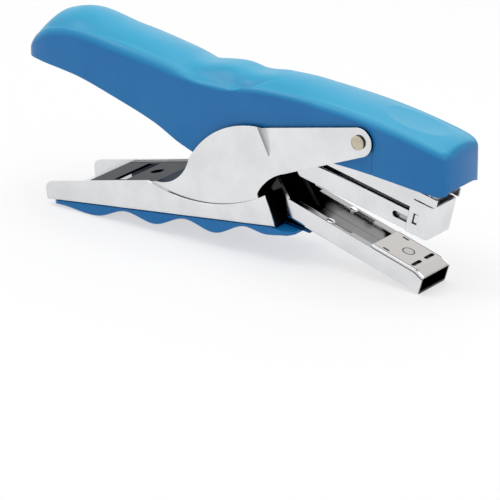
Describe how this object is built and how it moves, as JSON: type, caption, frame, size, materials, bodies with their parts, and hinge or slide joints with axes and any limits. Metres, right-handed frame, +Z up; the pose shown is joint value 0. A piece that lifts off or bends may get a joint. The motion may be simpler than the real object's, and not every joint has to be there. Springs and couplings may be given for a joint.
{
  "type": "plier stapler",
  "caption": "Hand-held plier stapler: moulded upper lever, plated lower lever on cheek plates, hinged magazine and anvil arm that close on paper when squeezed.",
  "frame": {"origin": "centre of the bounding box, on the table it stands on", "axes": "+X towards the nose, +Y across the width, +Z up"},
  "size_m": [0.184, 0.0296, 0.0748],
  "materials": {
    "blue_plastic": "satin gloss, moulded",
    "chrome": "bright plated",
    "frame_steel": "plain",
    "nickel": "nickel plated",
    "spring_steel": "plain",
    "copper_wire": "copper coated"
  },
  "bodies": {
    "upper_lever": {"upper_cover": "blue_plastic", "upper_frame": "frame_steel", "cover_screws": "nickel", "driver_blade": "frame_steel", "driver_rivets": "nickel", "front_pivot_rivet": "nickel", "rear_pivot_pin": "frame_steel"},
    "lower_lever": {"lower_handle": "chrome", "cheek_bracket": "chrome", "lower_grip": "blue_plastic", "grip_screws": "nickel"},
    "anvil": {"anvil_arm": "chrome", "anvil_plate": "chrome", "anvil_rivet": "chrome", "return_spring": "spring_steel"},
    "magazine": {"magazine_housing": "chrome", "magazine_spring": "spring_steel", "magazine_spring_rivet": "nickel", "staple_channel": "chrome", "staple_rail": "frame_steel", "rear_stop": "frame_steel", "guide_rod": "frame_steel", "pusher_spring": "copper_wire"},
    "pusher": {"pusher": "frame_steel"}
  },
  "joints": [
    {"name": "handle_squeeze", "type": "hinge", "parent": "upper_lever", "child": "lower_lever", "pos_m": [0.0575, 0, 0.0526], "axis": [0, 1, 0], "range_deg": [0, 13.5], "stiffness_Nm_per_rad": 1.5, "springref_deg": -20.05},
    {"name": "anvil_close", "type": "hinge", "parent": "upper_lever", "child": "anvil", "pos_m": [0.0085, 0, 0.04101], "axis": [0, -1, 0], "range_deg": [0, 14.9]},
    {"name": "magazine_close", "type": "hinge", "parent": "upper_lever", "child": "magazine", "pos_m": [0.0085, 0, 0.04101], "axis": [0, -1, 0], "range_deg": [0, 6.3], "deforming": ["magazine_spring"]},
    {"name": "pusher_slide", "type": "slide", "parent": "magazine", "child": "pusher", "axis": [-0.9759, 0, 0.2181], "range_m": [0, 0.03], "stiffness_N_per_m": 30, "springref_m": -0.03, "deforming": ["pusher_spring"]}
  ],
  "couplings": [
    {"joint": "anvil_close", "follows": "handle_squeeze", "ratio": 1.1037},
    {"joint": "magazine_close", "follows": "handle_squeeze", "ratio": 0.46666}
  ]
}
